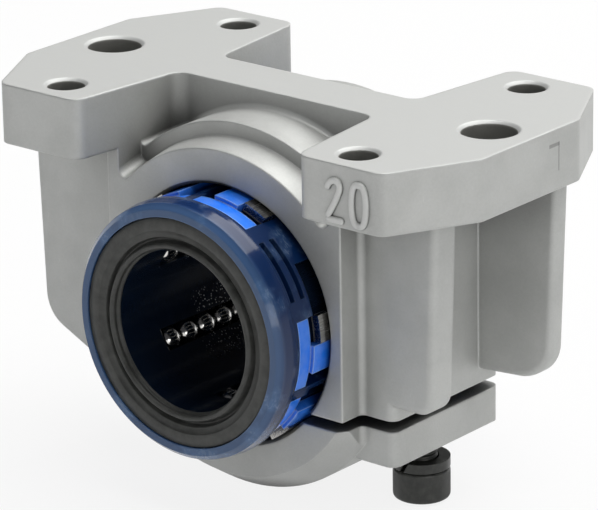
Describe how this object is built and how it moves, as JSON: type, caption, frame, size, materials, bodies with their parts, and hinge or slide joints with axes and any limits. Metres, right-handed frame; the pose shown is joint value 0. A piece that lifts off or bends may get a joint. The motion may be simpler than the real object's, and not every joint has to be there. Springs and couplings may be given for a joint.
{
  "type": "linear bearing block",
  "caption": "Flanged linear bearing block: a cast housing with a split clamp and a sealed ball bushing for a 20 mm shaft.",
  "frame": {"origin": "centre of the shaft bore, half way along the bushing", "axes": "+Y along the shaft axis to the rear, +Z out of the mounting face, +X towards the clamp screw"},
  "size_m": [0.07, 0.045, 0.0482],
  "materials": {
    "cast_alloy": "matte die-cast light alloy with a milled mounting face",
    "cage_plastic": "glossy dark blue moulding",
    "cover_plastic": "clear bright blue moulding",
    "seal_rubber": "satin black nitrile",
    "plate_steel": "ground hardened steel",
    "ball_steel": "polished bearing steel",
    "black_steel": "satin black oxide"
  },
  "bodies": {
    "block": {"housing": "cast_alloy", "cage": "cage_plastic", "front_seal": "seal_rubber", "rear_seal": "seal_rubber", "raceway_plate_1": "plate_steel", "raceway_plate_2": "plate_steel", "raceway_plate_3": "plate_steel", "raceway_plate_4": "plate_steel", "raceway_plate_5": "plate_steel", "raceway_plate_6": "plate_steel", "track_cover_1": "cover_plastic", "track_cover_2": "cover_plastic", "track_cover_3": "cover_plastic", "track_cover_4": "cover_plastic", "track_cover_5": "cover_plastic", "track_cover_6": "cover_plastic", "ball_row_1": "ball_steel", "ball_row_2": "ball_steel", "ball_row_3": "ball_steel", "ball_row_4": "ball_steel", "ball_row_5": "ball_steel", "ball_row_6": "ball_steel"},
    "washer": {"lock_washer": "black_steel"},
    "screw": {"clamp_screw": "black_steel"}
  },
  "joints": [
    {"name": "washer_lift", "type": "slide", "parent": "block", "child": "washer", "axis": [0, 0, 1], "range_m": [0, 0.0023]},
    {"name": "screw_turn", "type": "hinge", "parent": "washer", "child": "screw", "pos_m": [0.0188, 0, -0.01915], "axis": [0, 0, 1], "range_deg": [0, 1183]}
  ],
  "couplings": [
    {"joint": "screw_turn", "follows": "washer_lift", "rad_per_m": 8976}
  ]
}
